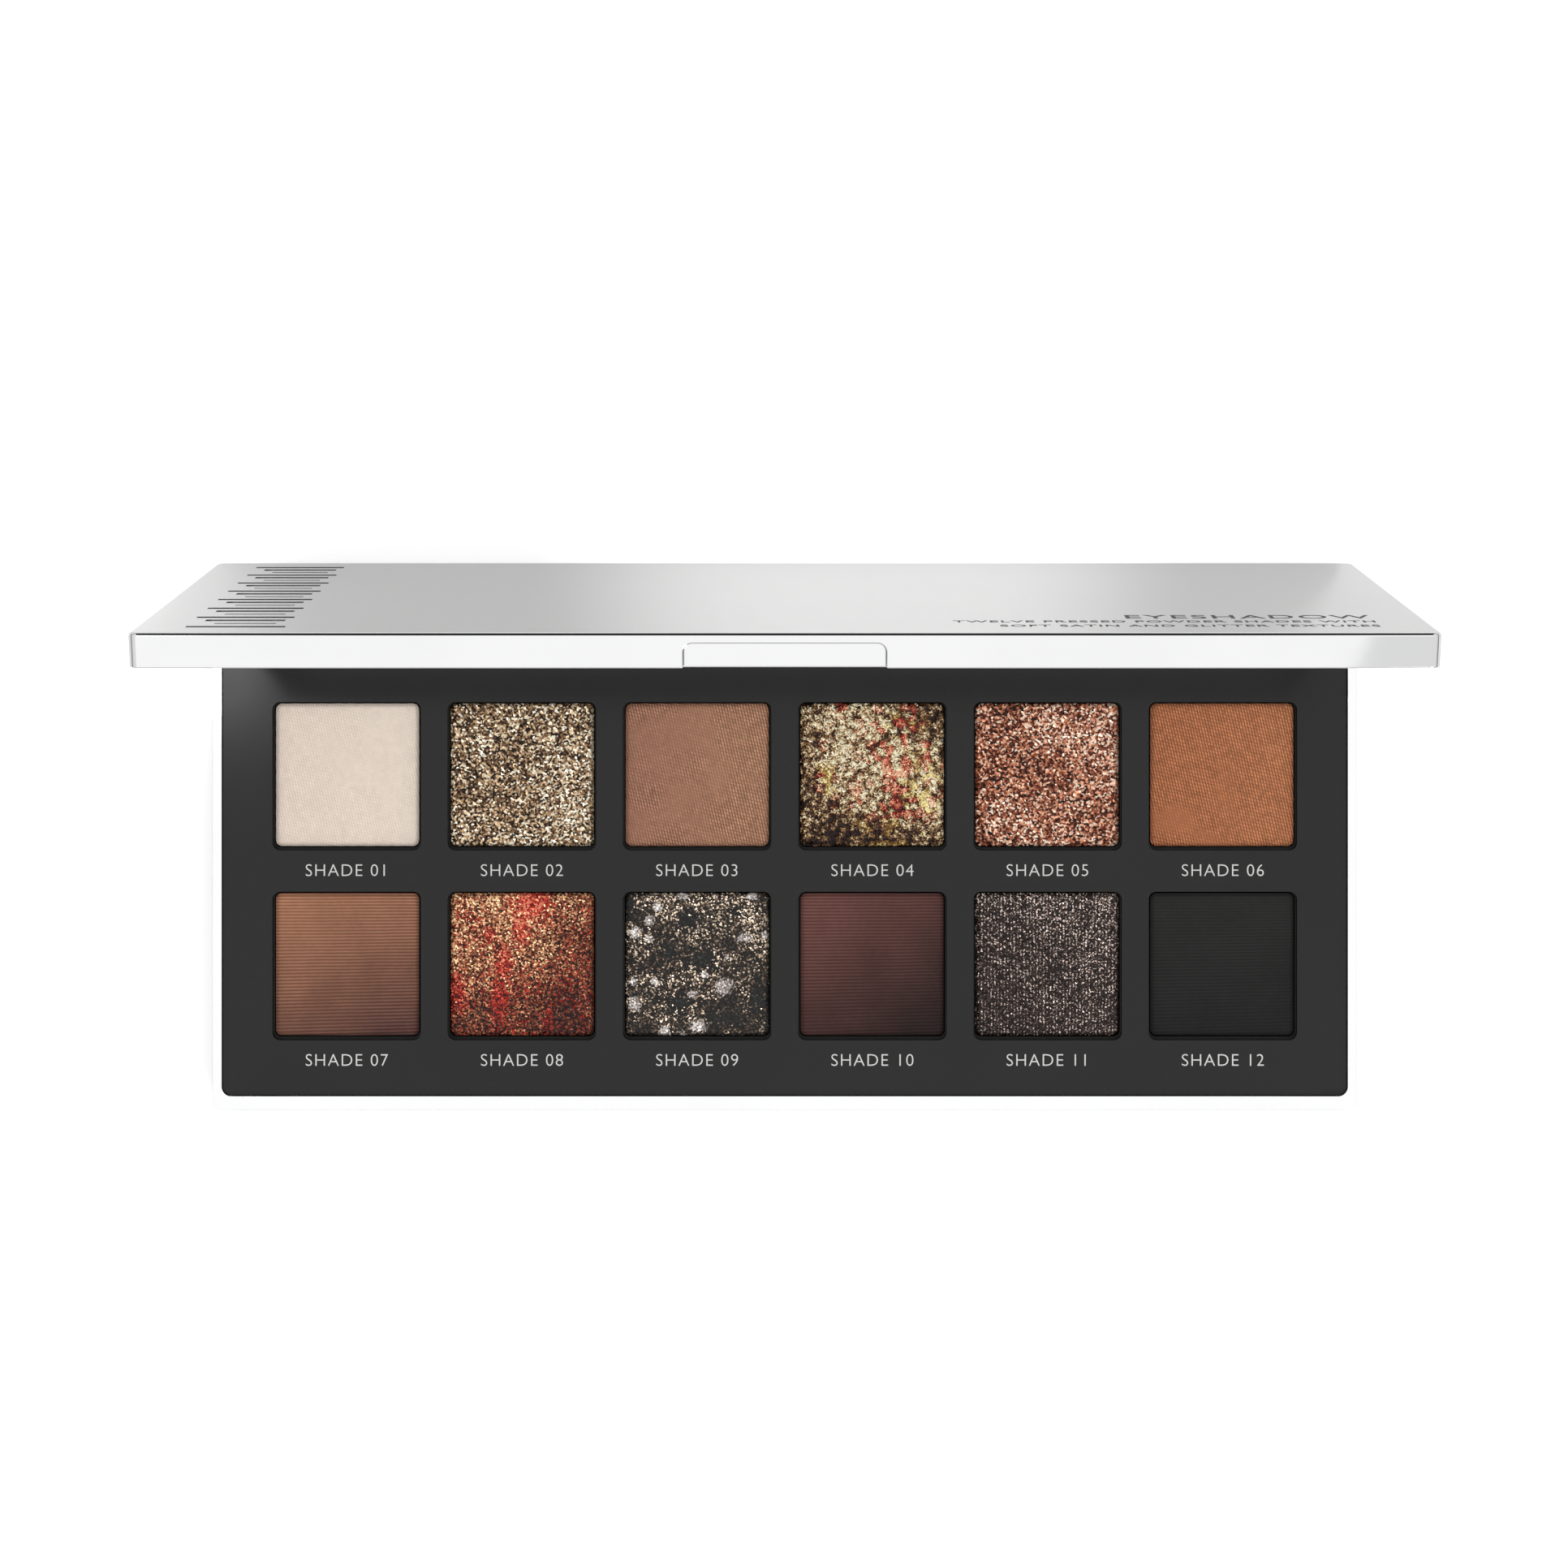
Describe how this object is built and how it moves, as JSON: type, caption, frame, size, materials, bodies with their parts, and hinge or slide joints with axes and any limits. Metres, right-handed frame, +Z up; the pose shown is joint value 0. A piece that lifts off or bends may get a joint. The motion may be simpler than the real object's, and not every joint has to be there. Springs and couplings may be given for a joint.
{
  "type": "eyeshadow palette",
  "caption": "Slim rectangular eyeshadow palette with square powder pans in a dark insert, and a hinged silver lid with a mirror inside, standing open.",
  "frame": {"origin": "on the underside, at the centre of the closed palette's outline", "axes": "+X along the width, +Y towards the hinge, +Z up; the lid stands open at rest"},
  "size_m": [0.157, 0.0753, 0.0759],
  "materials": {
    "silver_shell": "vacuum-metallised silver, semi-mirror",
    "insert_dark": "satin dark grey",
    "frame_silver": "satin silver",
    "pan_metal": "dark lacquered",
    "glue": "translucent hot melt",
    "magnet": "nickel plated",
    "pin_steel": "drawn wire",
    "label": "coated",
    "tape": "double-sided tape",
    "mirror": "silvered",
    "shade_01": "matte pressed powder",
    "shade_02": "glitter",
    "shade_03": "matte pressed powder",
    "shade_04": "crumbled metallic",
    "shade_05": "glitter",
    "shade_06": "matte pressed powder",
    "shade_07": "matte pressed powder",
    "shade_08": "glitter",
    "shade_09": "glitter",
    "shade_10": "matte pressed powder",
    "shade_11": "glitter",
    "shade_12": "matte pressed powder"
  },
  "bodies": {
    "base": {"base_shell": "silver_shell", "insert_plate": "insert_dark", "pan_glue_dots": "glue", "base_magnets": "magnet", "bottom_label": "label", "hinge_pin_left": "pin_steel", "hinge_pin_right": "pin_steel", "pan_01": "pan_metal", "pan_02": "pan_metal", "pan_03": "pan_metal", "pan_04": "pan_metal", "pan_05": "pan_metal", "pan_06": "pan_metal", "pan_07": "pan_metal", "pan_08": "pan_metal", "pan_09": "pan_metal", "pan_10": "pan_metal", "pan_11": "pan_metal", "pan_12": "pan_metal", "shade_01": "shade_01", "shade_02": "shade_02", "shade_03": "shade_03", "shade_04": "shade_04", "shade_05": "shade_05", "shade_06": "shade_06", "shade_07": "shade_07", "shade_08": "shade_08", "shade_09": "shade_09", "shade_10": "shade_10", "shade_11": "shade_11", "shade_12": "shade_12"},
    "lid": {"lid_shell": "silver_shell", "mirror_frame": "frame_silver", "mirror_tape": "tape", "mirror_glass": "mirror", "lid_magnets": "magnet"}
  },
  "joints": [
    {"name": "lid_hinge", "type": "hinge", "parent": "base", "child": "lid", "pos_m": [0, 0.03235, 0.0065], "axis": [-1, 0, 0], "range_deg": [-80.3, 24.7]}
  ]
}
